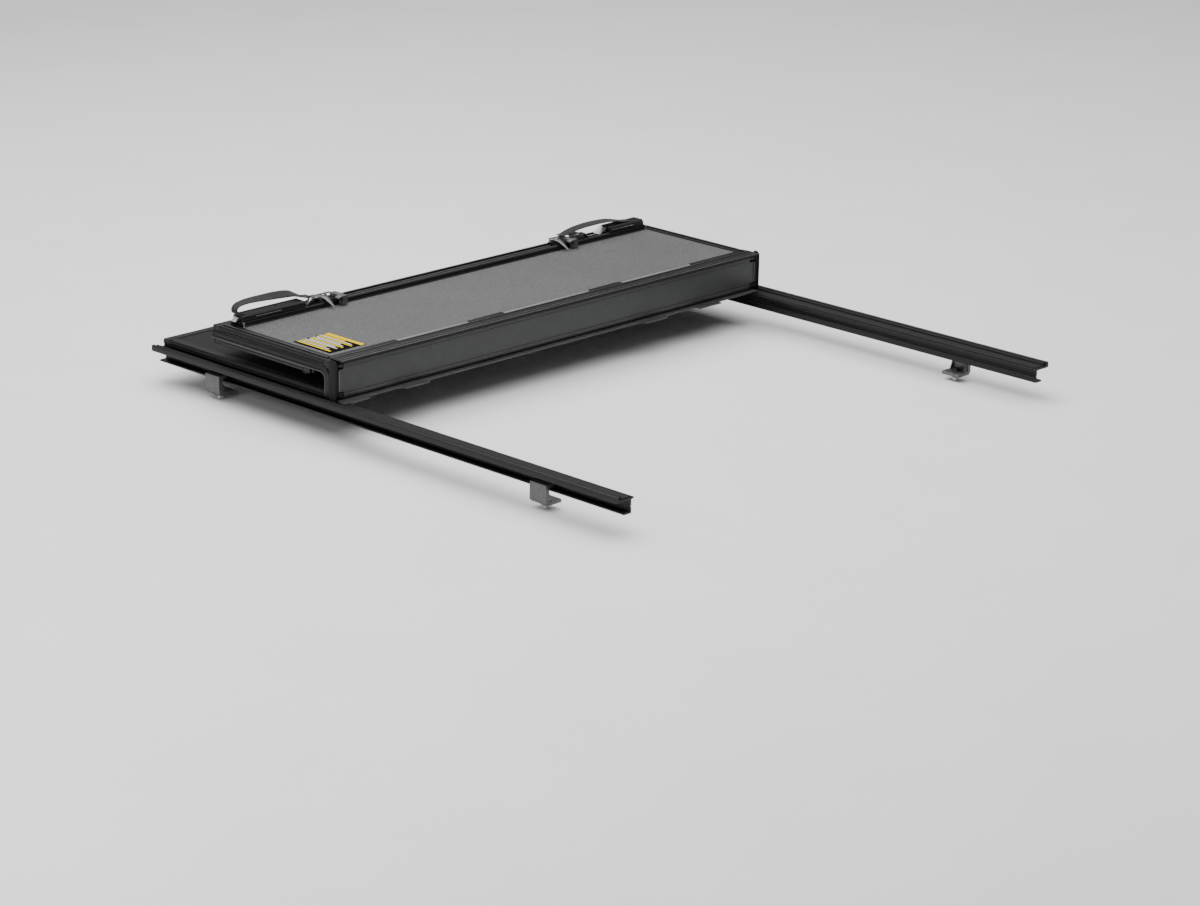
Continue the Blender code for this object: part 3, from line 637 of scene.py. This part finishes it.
FACE_END = 679.6
FACE_HEIGHT = 73
# The same trim on both ends: bright cast grey on the left as painted highlight, darker ledge coat on the
# right as painted shade
TRIM_LIT_AND_SHADED_COATS = {"left": CAST, "right": LEDGE}
FOLD_FACE = [*arc(0, 0, 9.5, 0, -180, 16), (-9.5, 2.6), (-8.6, 3.4), (-8.6, 5.4), (-7.4, 5.6), (-7.4, 6.8),
             (-8.1, 7.2), (-8.1, 65.8), (-7.4, 66.2), (-7.4, 67.4), (-8.6, 67.6), (-8.6, 69.6), (-9.5, 70.4),
             *arc(0, FACE_HEIGHT, 9.5, 180, 0, 16)]
BULGE = arc(0, 0, 8.8, 0, -180, 14) + arc(0, FACE_HEIGHT, 8.8, 180, 0, 14)
BULGE_MIDDLE = FACE_HEIGHT / 2
# (x outboard, growth) of the end seal's rings: a slim neck, then a flange that clears the hinge strips
BULGE_RINGS = ((697.4, 0.96), (698.2, 1.02), (706.8, 1.04), (707.2, 1.5), (708.4, 1.5), (709.3, 1.26),
               (709.5, 1.0))


def end_block(name, side, x, p, h, material, bevel, nodes=()):
    """Block on the fold panel's end: x outboard, p from the fold axis, h above the lower axis."""
    return slab(name, corners(side, x, p, h, LOWER_FOLD), material, "fold_panel", bevel, nodes)


swept("fold_face", FOLD_FACE, hinge_place(LOWER_Z, 1), (-FACE_END, FACE_END), COAT, "fold_panel", 0.0,
      ["fold_panel"])
for word, side in SIDES:
    end_block("face_end_" + word, side, (679.5, 692), (-8.1, -7.0), (10, 63), COAT, 0.0)
    end_block("face_trim_" + word, side, (692.3, 695), (-9.8, -7), (11.5, 61.5), TRIM_LIT_AND_SHADED_COATS[word], 0.5)
    end_block("end_cap_" + word, side, (680.4, 697.2), (-6.9, 9.4), (10.6, 62.4), PLASTIC, 1.2,
              ["fold_end_cap_" + word])
    end_block("end_cap_lip_" + word, side, (695.2, 697.2), (-9.2, -6), (10.6, 62.4), PLASTIC, 0.8)
    rings = []
    for x, grow in BULGE_RINGS:
        tall = 0.75 + 0.25 * grow
        rings.append([Vector((side * x, FOLD_Y + p * (grow if p < 0 else min(grow, 1)),
                              LOWER_Z + BULGE_MIDDLE + (q - BULGE_MIDDLE) * tall)) for p, q in BULGE])
    bm = bmesh.new()
    loft(bm, rings)
    add("end_seal_bulge_" + word, bm, FOAM, "fold_panel", 40, ["fold_end_seal_" + word])


# ---------------------------------------------------------------- side skirts that turn the corner

def stroke(points, half):
    """Closed outline of a thin lip that follows 2-D points."""
    points = [Vector(p) for p in points]
    left, right = [], []
    for i, p in enumerate(points):
        along = (points[min(i + 1, len(points) - 1)] - points[max(i - 1, 0)]).normalized()
        normal = Vector((-along.y, along.x)) * half
        left.append(p + normal)
        right.append(p - normal)
    return left + right[::-1]


# Sections as (outboard of the panel's side, towards the outside of the bend)
SKIRT = stroke([(-3.5, 1.0), (1.4, 0.9), (2.5, 0.2), (2.9, -1.4), (3.0, -6), (3.3, -10), (4.6, -13),
                (5.4, -13.8)], 0.8)
# Round bead on the skirt's lower lip, coloured pale as a painted highlight
SKIRT_BEAD = [Vector(p) for p in arc(5.0, -13.4, 1.15, 0, 330, 11)]
SKIRT_Z = UPPER_Z - 5.2
SKIRT_ALONG = (562, 520, 470, 420, 370, 320, 270, 230, 205, 194)
SKIRT_DOWN = (132, 124, 116, 108, 101, 97)
BEND_Y, BEND_R, BEND_STEPS = 188.0, 30.0, 12
TUCK = 0.6


def skirt_route():
    """(y, z, inward normal) stations along the middle panel, round the corner and down the fold panel."""
    stations = [(y, SKIRT_Z, (0, -1)) for y in SKIRT_ALONG]
    for k in range(BEND_STEPS + 1):
        a = radians(90 + 90 * k / BEND_STEPS)
        stations.append((BEND_Y + BEND_R * cos(a), SKIRT_Z - BEND_R + BEND_R * sin(a), (-cos(a), -sin(a))))
    return stations + [(BEND_Y - BEND_R, z, (1, 0)) for z in SKIRT_DOWN]


def skirt_piece(name, side, section, material, nodes=()):
    """Rubber section along the skirt's route, drawn in towards the panel on the way down."""
    rings = []
    for y, z, (ny, nz) in skirt_route():
        reach = 1 - TUCK * max(0, ny)
        rings.append([Vector((side * (HALF_W + p.x * reach), y - ny * p.y, z - nz * p.y)) for p in section])
    bm = bmesh.new()
    loft(bm, rings)
    piece = add(name, bm, material, None, 50, nodes)
    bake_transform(piece)


for word, side in SIDES:
    skirt_piece("side_skirt_" + word, side, SKIRT, RUBBER, ["middle_seal_" + word])
    skirt_piece("side_skirt_bead_" + word, side, SKIRT_BEAD, PAINTED_HIGHLIGHT_RUBBER)


# ---------------------------------------------------------------- header plugs and weather skins

PLUGS = (("front_header", LOWER_Z, (724.8, 739.6), "root"),
         ("middle_header", UPPER_Z, (541.8, 556.6), "middle_panel"),
         ("tail_header", TAIL_Z, (231.8, 247.2), "tail_panel"),
         ("tail_hinge", TAIL_Z, (541.8, 556.6), "tail_panel"),
         ("front_strip", LOWER_Z, (164.8, 176.6), "root"),
         ("middle_strip", UPPER_Z, (164.8, 176.6), "middle_panel"))
PLUG_X, PLUG_H = (697, 706.4), (-7.8, 7.8)
SKINS = (("front", LOWER_Z, 1, (166, 739), "root"),
         ("middle", UPPER_Z, -1, (166, 556), "middle_panel"),
         ("tail", TAIL_Z, 1, (233, 556), "tail_panel"))
SKIN_X, SKIN_H = (-695, 695), (7.72, 7.96)

for name, z, span, body in PLUGS:
    for word, side in SIDES:
        slab(f"{name}_plug_{word}", corners(side, PLUG_X, span, PLUG_H, (0, z)), PLASTIC, body, 0.8)
for prefix, z, flip, span, body in SKINS:
    heights = sorted(flip * h for h in SKIN_H)
    slab(prefix + "_weather_skin", corners(1, SKIN_X, span, heights, (0, z)), UNDERSKIN, body, 0.0)


# ---------------------------------------------------------------- latch bar, slam bolts and their covers

def bar_place(p, h, x):
    """Point from the slam bolts' line: p to the cab and h above the middle panel's mid height."""
    return Vector((x, BOLT_Y + p, UPPER_Z + h))


def latch_slab(name, side, x, p, h, material, bevel, nodes=()):
    """Block on the latch bar: x outboard, p and h from the slam bolts' line."""
    return slab(name, corners(side, x, p, h, LATCH), material, "middle_panel", bevel, nodes)


BAR = [(-23, 8), (-22.4, 9.4), (-20.6, 10), (-20, 17.6), (-17.4, 20.4), (-12.6, 21), (-11.4, 20),
       (-11.2, 15.6), (11.2, 15.6), (11.4, 20), (12.4, 21), (16.6, 21), (19.6, 18.4), (20.4, 10), (21, 8)]
BAR_END, BAR_RIB_END, BAR_RIBS = 671.8, 671, (-6.5, 6.5)
HOUSING = [(-20, 20.8), (-19.4, 24), (-18.6, 24.4), (-18.6, 25.6), (-19, 26), (-18.2, 31), (-15.4, 34.2),
           (-12.6, 35), (-6.8, 35), (-6, 34.2), (-4.4, 34.2), (-3.6, 35), (2.2, 35), (3, 34.2), (4.6, 34.2),
           (5.4, 35), (11, 35), (14.4, 33), (16.4, 29.6), (17, 20.8), (9, 20.8), (9, 30.5), (-9, 30.5),
           (-9, 20.8)]
COVER_START = {"left": 478, "right": 545}
COVER_END = 668
COVER_SCREW_X, COVER_TOP = (556, 656), 35
# Bevelled nose and body of a slam bolt, as (x outboard, height)
SLAM_BOLT = [(682.4, 20.3), (682.4, 21.4), (672.6, 30), (664, 30), (664, 26), (540, 26), (540, 20.3)]
SLAM_HALF = 8.2
# Bend, in radians, over which a bolt's edge is chamfered
SLAM_SHARP = 0.3
PULL_ROD = [(0, 1.8), (127.5, 1.8), (128, 1.3)]
PULL_ROD_X, PULL_ROD_H = 560, 19
END_PLATE = ((512, 21.6), (516, 22.6), (532, 33.5), (536, 35.4), (543, 35.4))
END_PLATE_SECTION = ((0, -15), (2.2, -15), (2.2, 9), (0, 9))

swept("latch_bar", BAR, bar_place, (-BAR_END, BAR_END), BLACK, "middle_panel", 0.5, ["middle_latch_bar"])
# Ribs in the bar's channel, their pale grey a painted highlight line on each
for k, p in enumerate(BAR_RIBS):
    rib = [(p - 1.1, 15), (p - 0.9, 17.4), (p + 0.9, 17.4), (p + 1.1, 15)]
    swept(f"latch_bar_rib_{k}", rib, bar_place, (-BAR_RIB_END, BAR_RIB_END), PAINTED_HIGHLIGHT_COAT, "middle_panel", 0.3)
# Pale bead along the bar's front edge: painted highlight line
box = corners(1, (-BAR_RIB_END, BAR_RIB_END), (-17.6, -16.4), (19.6, 20.9), LATCH)
slab("latch_bar_front_bead", box, PAINTED_HIGHLIGHT_COAT, "middle_panel", 0.3)
for word, side in SIDES:
    start = COVER_START[word]
    swept("latch_cover_" + word, HOUSING, bar_place, sorted((side * start, side * COVER_END)), PLASTIC,
          "middle_panel", 0.6, ["latch_housing_" + word])
    # Rib along the cover's front, its bright zinc a painted highlight line
    latch_slab("latch_cover_highlight_rib_" + word, side, (552, 630), (-20.0, -18.4), (26.6, 28.0), ZINC, 0.4)
    # Pale bead on the cover's rear top edge: painted highlight line
    latch_slab("latch_cover_highlight_bead_" + word, side, (start + 2, 664), (9.2, 11), (34, 36.4), PAINTED_HIGHLIGHT_LIP, 0.3)
    for k, x in enumerate(COVER_SCREW_X):
        seat = bar_place(-1.4, COVER_TOP, side * x)
        screw(f"latch_cover_screw_{word}_{k}", seat, UP, 2.4, BLACK, "middle_panel", 1.3)
    # Steel angle that holds the cover's outboard corner to the bar
    latch_slab("cover_angle_" + word, side, (668.4, 672.6), (-25.2, -23.2), (9, 20.5), ZINC, 0.5)
    latch_slab("cover_angle_foot_" + word, side, (668.4, 672.6), (-30, -23.2), (8.2, 9.6), ZINC, 0.4)
    # Slam bolt with its bevelled nose and pull rod
    bm = bmesh.new()
    loft(bm, [[bar_place(p, h, side * x) for x, h in SLAM_BOLT] for p in (-SLAM_HALF, SLAM_HALF)])
    sharp = [e for e in bm.edges if e.calc_face_angle(0) > SLAM_SHARP]
    bmesh.ops.bevel(bm, geom=sharp, offset=0.5, **CHAMFERED)
    turned_into(bm, bar_place(0, PULL_ROD_H, side * PULL_ROD_X), (-side, 0, 0), PULL_ROD, 14)
    add("slam_bolt_" + word, bm, ZINC, "latch_bolt_" + word, 36, ["latch_bolt_" + word])

# Sloping steel plate inboard of the right cover
bm = bmesh.new()
loft(bm, [[bar_place(p, h, x + dx) for dx, p in END_PLATE_SECTION] for x, h in END_PLATE])
add("cover_end_plate_right", bm, ZINC, "middle_panel")


# ---------------------------------------------------------------- strap brackets and finger flaps

# Hooked jaw, as (x outboard, height), with an opening towards the flap
JAW = [(361, 9), (361, 29.4), (364, 32.4), (382, 32.4), (389.5, 30.2), (392, 26.5), (388.6, 25.6),
       (386, 27.8), (382, 28.8), (377.6, 27.4), (375.6, 24), (375.6, 18.5), (378, 14.4), (378, 9)]
# The right jaw is the left one turned over, its x taken from JAW_MIRROR, and moved outboard
JAW_MIRROR, JAW_SHIFT = 747, {"left": 0, "right": 28}
# Middle of the jaw, about which its nose narrows
JAW_X, JAW_H = 372, 23
# (tip, root, scale at the tip) of the jaw's nose and of its body
JAW_DEPTHS = ((-37, -35, 0.94), (-35, -24.2, 1))
STRAP_PLATE = ((468, 23.8), (466.6, 26), (455, 35.4), (452.4, 36.6), (447, 36.6))
STRAP_PLATE_SECTION = ((0, -17), (2.4, -17), (2.4, -5), (0, -5))
BRIDGE_START = {"left": 376, "right": 357}

FLAP_Y, FLAP_Z = 524.5, 200.0
FLAP_X = {"left": -410, "right": 370}
# (along, half width, rise) from the pivot to the tip
FLAP_ROWS = [(4.5, 7, 0.6), (2, 8.5, 1.6), (-4, 9, 2.0), (-12, 8.6, 1.8), (-18, 7.6, 0.9), (-24, 6.6, -1.2),
             (-32, 5.2, -5.4), (-40, 3.6, -10), (-46, 2.2, -13.6), (-50, 1.0, -15.6)]
FLAP_BARREL = [(0, 2.2), (0.5, 2.8), (24.5, 2.8), (25, 2.2)]
BARREL_HALF = 12.5
EAR_X, EAR_THICK, EAR_REACH, EAR_FOOT = (-16.2, 13.2), 3, 4, 23.8


def latch_blocks(bm, side, blocks):
    for x, p, h, bevel in blocks:
        block_into(bm, *corners(side, x, p, h, LATCH), bevel)


def jaw_ring(side, outline, shift, p, scale):
    """Ring of the hook at one depth, scaled about the middle of the jaw."""
    x = JAW_X + shift
    return [bar_place(p, JAW_H + (q.y - JAW_H) * scale, side * (x + (q.x - x) * scale)) for q in outline]


for word, side in SIDES:
    latch_slab("bracket_base_" + word, side, (356, 471), (-18, 14), (21.4, 24.0), BLACK, 0.8,
               ["strap_bracket_" + word])
    shift = JAW_SHIFT[word]
    outline = fillet([(x if side < 0 else JAW_MIRROR - x + shift, h) for x, h in JAW], 1.2)
    bm = bmesh.new()
    for tip, root, scale in JAW_DEPTHS:
        loft(bm, [jaw_ring(side, outline, shift, tip, scale), jaw_ring(side, outline, shift, root, 1)])
    top = (361.2 + shift, 378 + shift)
    latch_blocks(bm, side, ((top, (-25, 9), (29, 32.2), 0.8), (top, (-16, 9), (23.6, 30), 0.8)))
    add("bracket_jaw_" + word, bm, CAST, "middle_panel", 36)
    # Bridge over the flap's pivot to a shelf, and the sloping steel plate that takes the strap
    bm = bmesh.new()
    latch_blocks(bm, side, (((BRIDGE_START[word], 452), (7.4, 13.4), (31.2, 33.4), 0.6),
                            ((424, 452), (-15, 13.4), (32.6, 34.8), 0.7),
                            ((424, 427.4), (-15, 9), (23.8, 33.4), 0.7)))
    add("bracket_arm_" + word, bm, CAST, "middle_panel", 36)
    bm = bmesh.new()
    loft(bm, [[bar_place(p, h, side * (x + dx)) for dx, p in STRAP_PLATE_SECTION] for x, h in STRAP_PLATE])
    add("strap_plate_" + word, bm, ZINC, "middle_panel", 36)
    screw("bracket_screw_" + word, bar_place(-11, 34.6, side * 436), UP, 2.2, ZINC, "middle_panel", 1.2)

for word, side in SIDES:
    x = FLAP_X[word]
    rows = []
    for v, half, rise in FLAP_ROWS:
        edge = min(1.0, half * 0.5)
        section = [(-half, -0.5), (-half + edge, -1.1), (half - edge, -1.1), (half, -0.5), (half, 0.3),
                   (half - edge, 1.1), (0, 1.7), (-half + edge, 1.1), (-half, 0.3)]
        rows.append([Vector((x + a, FLAP_Y + v, FLAP_Z + rise + b)) for a, b in section])
    bm = bmesh.new()
    loft(bm, rows)
    turned_into(bm, (x - BARREL_HALF, FLAP_Y, FLAP_Z), (1, 0, 0), FLAP_BARREL, 16)
    add("finger_flap_" + word, bm, CAST, "release_flap_" + word, 40, ["release_flap_" + word])
    bm = bmesh.new()
    for a in EAR_X:
        block_into(bm, (x + a, FLAP_Y - EAR_REACH, UPPER_Z + EAR_FOOT),
                   (x + a + EAR_THICK, FLAP_Y + EAR_REACH, FLAP_Z + EAR_REACH), 0.8)
    add("flap_pivot_ears_" + word, bm, CAST, "middle_panel")


# ---------------------------------------------------------------- pull straps

# (x outboard, height of the edge to the cab, height of the edge to the tailgate), slam bolt to bracket
STRAP_KEYS = {
    "left": [(657, 36.2, 36.2), (668, 36.8, 36.8), (675.2, 39.5, 39.5), (677.8, 44.5, 44.5),
             (676.8, 50.5, 50), (672, 56.5, 54.5), (661, 61, 57), (640, 64, 58), (615, 65, 56.8),
             (590, 65.3, 55), (552, 65.3, 52), (522, 63, 49.8), (503, 59, 48.2), (488, 51.5, 44.5),
             (475, 44.5, 40.8), (465, 40.4, 39), (457, 38.6, 38.4), (449, 38, 38)],
    "right": [(624, 36.8, 36.8), (612, 37.4, 37.2), (600, 39.8, 38.8), (585, 43.8, 41.8),
              (568, 47.5, 44.5), (545, 50.6, 46.8), (515, 52, 47.4), (483, 52, 47), (455, 50, 45.5),
              (432, 47, 43), (415, 43.5, 40.3), (405, 40, 38.3), (398, 37.8, 37.4), (388, 37, 37)],
}
STRAP_HALF_WIDTH, STRAP_HALF_T = 11, 1.0
STRAP_SECTION = ((-1, -0.55), (-0.93, -1), (0, -1), (0.93, -1), (1, -0.55), (1, 0.55), (0.93, 1),
                 (0.5, 1.0), (0, 1.0), (-0.5, 1.0), (-0.93, 1), (-1, 0.55))
KEY_STEPS = 4
SWAY, DRIFT = 1.2, 5


def smooth_route(keys):
    """Catmull-Rom through the keys."""
    out = []
    for i in range(len(keys) - 1):
        p0, p1, p2, p3 = keys[max(i - 1, 0)], keys[i], keys[i + 1], keys[min(i + 2, len(keys) - 1)]
        for k in range(KEY_STEPS):
            t = k / KEY_STEPS
            out.append(0.5 * (2 * p1 + (p2 - p0) * t + (2 * p0 - 5 * p1 + 4 * p2 - p3) * t * t
                              + (3 * p1 - p0 - 3 * p2 + p3) * t ** 3))
    return out + [keys[-1]]


def ribbon(bm, route, side):
    """Flat band whose edges to the cab and to the tailgate run at their own heights."""
    rings = []
    last = len(route) - 1
    for i, (x, cab, gate) in enumerate(route):
        before, after = route[max(i - 1, 0)], route[min(i + 1, last)]
        lean = (cab - gate) / (2 * STRAP_HALF_WIDTH)
        across = Vector((0, cos(lean), lean))
        climb = (after[1] + after[2] - before[1] - before[2]) / 2
        along = Vector((after[0] - before[0], 0, climb)).normalized()
        normal = across.cross(along).normalized()
        aside = SWAY * sin(pi * i / last) + DRIFT * (i / last) ** 3
        middle = Vector((x, BOLT_Y + aside, UPPER_Z + (cab + gate) / 2))
        ring = []
        for a, b in STRAP_SECTION:
            point = middle + across * (a * STRAP_HALF_WIDTH) + normal * (b * STRAP_HALF_T)
            ring.append(Vector((side * point.x, point.y, point.z)))
        rings.append(ring)
    loft(bm, rings)


for word, side in SIDES:
    bm = bmesh.new()
    ribbon(bm, smooth_route([Vector(key) for key in STRAP_KEYS[word]]), side)
    strap = add("webbing_strap_" + word, bm, WEBBING, None, 40, ["pull_strap_" + word])
    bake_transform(strap)


# ---------------------------------------------------------------- printed label

LABEL_BASE = ((-662, 206.5, 179.4), (-552, 334.5, 179.75))
BAR_TOP, BAR_REACH, BAR_Z = 333, 125, (179.75, 179.86)
# (x, width, colour, start share, end share) of each bar, from the heading outboard
LABEL_BARS = ((-560, 13, YELLOW, 0.0, 1.0), (-572, 5.4, YELLOW, 0.02, 0.62), (-579.5, 4.6, WHITE, 0.0, 0.86),
              (-587, 4.6, YELLOW, 0.0, 0.94), (-594.5, 4.6, WHITE, 0.03, 0.7), (-602, 4.6, WHITE, 0.0, 0.82),
              (-610, 5.2, YELLOW, 0.0, 0.9), (-618, 4.6, WHITE, 0.05, 0.76),
              (-625.5, 4.6, WHITE, 0.0, 0.88), (-633.5, 5.2, YELLOW, 0.0, 0.66),
              (-641.5, 4.6, WHITE, 0.0, 0.8), (-650, 5.6, YELLOW, 0.0, 0.92))

slab("label_base", LABEL_BASE, FILM, "middle_panel", 0.1, ["care_label"])
for k, (x, width, colour, start, end) in enumerate(LABEL_BARS):
    low = (x - width / 2, BAR_TOP - BAR_REACH * end, BAR_Z[0])
    high = (x + width / 2, BAR_TOP - BAR_REACH * start, BAR_Z[1])
    slab(f"label_bar_{k:02d}", (low, high), colour, "middle_panel", 0.0)


# ---------------------------------------------------------------- CAD nodes kept as they are

# (part of a node's name, its material), the first that fits; the empty one takes the rest
FINISHES = (("core", SKIN), ("seal", RUBBER), ("pin", ZINC), ("tail_bolt", BLACK), ("paddle", PLASTIC),
            ("", BLACK))
# In metres, as modifiers take them
WELD_AT = 0.00002
SOFT_EDGE = 0.0005
for name, obj in NODES.items():
    if obj.hide_render:
        continue
    obj.data.materials.clear()
    obj.data.materials.append(next(material for key, material in FINISHES if key in name))
    weld = obj.modifiers.new("weld", "WELD")
    weld.merge_threshold = WELD_AT
    flat = obj.modifiers.new("flat", "DECIMATE")
    flat.decimate_type = "DISSOLVE"
    flat.angle_limit = radians(1)
    if "core" not in name and name != "tail_latch_bar":
        soft = obj.modifiers.new("soft", "BEVEL")
        soft.width = SOFT_EDGE
        soft.segments = 2
        soft.limit_method = "ANGLE"
        soft.angle_limit = radians(35)


# ---------------------------------------------------------------- floor and light, in metres

FLOOR_HALF = 30
FLOOR_SHADES = [(0.3, (0.80, 0.80, 0.80)), (0.7, (0.83, 0.83, 0.83))]
floor_mesh = bpy.data.meshes.new("floor")
floor_bm = bmesh.new()
bmesh.ops.create_grid(floor_bm, x_segments=1, y_segments=1, size=FLOOR_HALF)
floor_bm.to_mesh(floor_mesh)
floor_bm.free()
floor = bpy.data.objects.new("floor", floor_mesh)
bpy.context.scene.collection.objects.link(floor)
floor_tree = Tree("studio_floor", roughness=0.7)
floor_tree.colour(floor_tree.ramp(floor_tree.noise(3, 3), FLOOR_SHADES))
floor_mesh.materials.append(floor_tree.material)

world = bpy.data.worlds.new("studio")
bpy.context.scene.world = world
world.use_nodes = True
background = world.node_tree.nodes["Background"]
background.inputs["Color"].default_value = (1, 1, 1, 1)
background.inputs["Strength"].default_value = 0.14


def area_light(name, place, target, size, power):
    data = bpy.data.lights.new(name, "AREA")
    data.shape = "RECTANGLE"
    data.size, data.size_y = size
    data.energy = power
    obj = bpy.data.objects.new(name, data)
    bpy.context.scene.collection.objects.link(obj)
    obj.location = place
    obj.rotation_euler = (Vector(target) - Vector(place)).to_track_quat("-Z", "Y").to_euler()


area_light("ceiling", (0.5, 0.5, 5.5), (0.5, 0.5, 0), (11, 11), 830)
area_light("overhead", (-0.6, 0.6, 3.2), (0, 0, 0.1), (4.0, 2.6), 95)
area_light("cab_side", (0.8, 3.6, 1.8), (0, 0.1, 0.1), (3.5, 1.6), 8)
area_light("left_fill", (-3.6, -0.6, 1.4), (0, 0.1, 0.15), (2.2, 1.4), 36)
